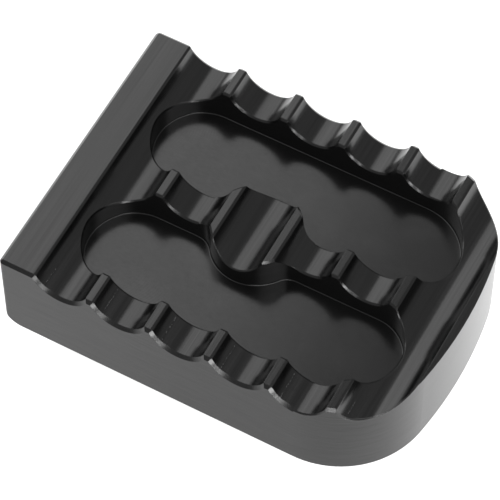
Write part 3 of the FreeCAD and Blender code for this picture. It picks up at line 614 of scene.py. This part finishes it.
def studio_floor(level):
    """A wide pale sheet, brighter behind and outboard, with one glint in front; clear from below."""
    bpy.ops.mesh.primitive_plane_add(size=FLOOR_SIZE, location=(0, 0, level))
    floor = bpy.context.object
    floor.name = "studio_floor"
    material, graph = new_material("pale_floor")
    place = mm_coordinates(graph)
    x, y, _ = graph.split(place)
    towards_back = graph.math("ADD", y, graph.math("MULTIPLY", x, 0.25))
    glow = graph.mix(graph.step(towards_back, -45.0, 90.0), 0.20, 1.05)
    left = graph.mix(graph.step(x, 40.0, -40.0), 0.0, 0.12)
    spot = graph.node("ShaderNodeVectorMath", {0: place, 1: (*GLINT_SPOT, level / MM)},
                      operation="DISTANCE")
    glint = graph.mix(graph.step(spot.outputs["Value"], 75.0, 25.0), 0.0, 6.0)
    glow = graph.math("ADD", glow, graph.math("ADD", left, glint))
    path = graph.node("ShaderNodeLightPath")
    seen = graph.mix(path.outputs["Is Camera Ray"], glow, SEEN_FLOOR)
    emission = graph.node("ShaderNodeEmission", {"Strength": seen})
    speckle = graph.noise(place, 0.8, 2.0)
    colour = graph.mix_colour(speckle, grey(0.83), grey(0.87))
    paper = graph.node("ShaderNodeBsdfDiffuse", {"Color": colour})
    both = graph.node("ShaderNodeAddShader", {0: emission.outputs[0], 1: paper.outputs[0]})
    underneath = graph.node("ShaderNodeNewGeometry").outputs["Backfacing"]
    clear = graph.node("ShaderNodeBsdfTransparent")
    one_sided = graph.node("ShaderNodeMixShader", {0: underneath, 1: both.outputs[0],
                                                   2: clear.outputs[0]})
    output = graph.node("ShaderNodeOutputMaterial")
    graph.feed(output.inputs["Surface"], one_sided.outputs[0])
    floor.data.materials.append(material)


def direction(azimuth, elevation):
    """Unit vector from the peg; azimuth 0 is in front (-Y), 90 is outboard (+X)."""
    turn, rise = math.radians(azimuth), math.radians(elevation)
    return Vector((math.sin(turn) * math.cos(rise), -math.cos(turn) * math.cos(rise),
                   math.sin(rise)))


def area_light(name, corner, along, up, radiance):
    """A rectangular light given by one corner and its two sides; it shines against along x up."""
    data = bpy.data.lights.new(name, "AREA")
    data.shape = "RECTANGLE"
    data.size, data.size_y = along.length, up.length
    data.energy = radiance * along.length * up.length * math.pi
    light = bpy.data.objects.new(name, data)
    light.location = corner + (along + up) / 2
    axes = (along.normalized(), up.normalized(), along.cross(up).normalized())
    light.rotation_mode = "QUATERNION"
    light.rotation_quaternion = Matrix(axes).transposed().to_quaternion()
    light.visible_camera = False
    bpy.context.scene.collection.objects.link(light)


def facing_panel(aim, name, azimuth, elevation, distance, width, height, radiance):
    """A rectangular light that faces the point aimed at."""
    towards = direction(azimuth, elevation)
    across = Vector((0, 0, 1)).cross(towards).normalized() * width
    upward = towards.cross(across).normalized() * height
    area_light(name, aim + towards * distance - (across + upward) / 2, across, upward, radiance)


def sloping_panels():
    """Two long panels, edge to edge, that climb from low on the left to over the peg."""
    depth = Vector((0, -PANEL_DEPTH, 0))
    edges = [Vector(corner) * MM for corner in PANEL_EDGES]
    for (name, radiance), lower, upper in zip(PANEL_RADIANCES, edges, edges[1:]):
        area_light(name, lower, depth, upper - lower, radiance)


def studio_world():
    """White where the camera looks past the peg; a dim room for everything else."""
    world = bpy.data.worlds.new("studio")
    world.use_nodes = True
    bpy.context.scene.world = world
    graph = Graph(world.node_tree)
    path = graph.node("ShaderNodeLightPath")
    strength = graph.mix(path.outputs["Is Camera Ray"], ROOM_LIGHT, 1.0)
    background = graph.node("ShaderNodeBackground", {"Color": grey(1.0), "Strength": strength})
    output = graph.node("ShaderNodeOutputWorld")
    graph.feed(output.inputs["Surface"], background.outputs[0])


def studio_camera(aim):
    """A long lens, high in front and outboard."""
    data = bpy.data.cameras.new("camera")
    data.sensor_width = SENSOR_WIDTH
    data.lens = FOCAL_LENGTH
    camera = bpy.data.objects.new("camera", data)
    bpy.context.scene.collection.objects.link(camera)
    back = direction(CAMERA_AZIMUTH, CAMERA_ELEVATION)
    camera.location = aim + back * CAMERA_DISTANCE
    camera.rotation_mode = "QUATERNION"
    camera.rotation_quaternion = back.to_track_quat("Z", "Y")
    return camera


platform_low, platform_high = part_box("platform")
aim = (platform_low + platform_high) / 2 + AIM_OFFSET

studio_floor(cad_low.z)
studio_world()
sloping_panels()
for panel in FACING_PANELS:
    facing_panel(aim, *panel)
bpy.context.scene.camera = studio_camera(aim)
bpy.context.scene.view_settings.view_transform = "Standard"
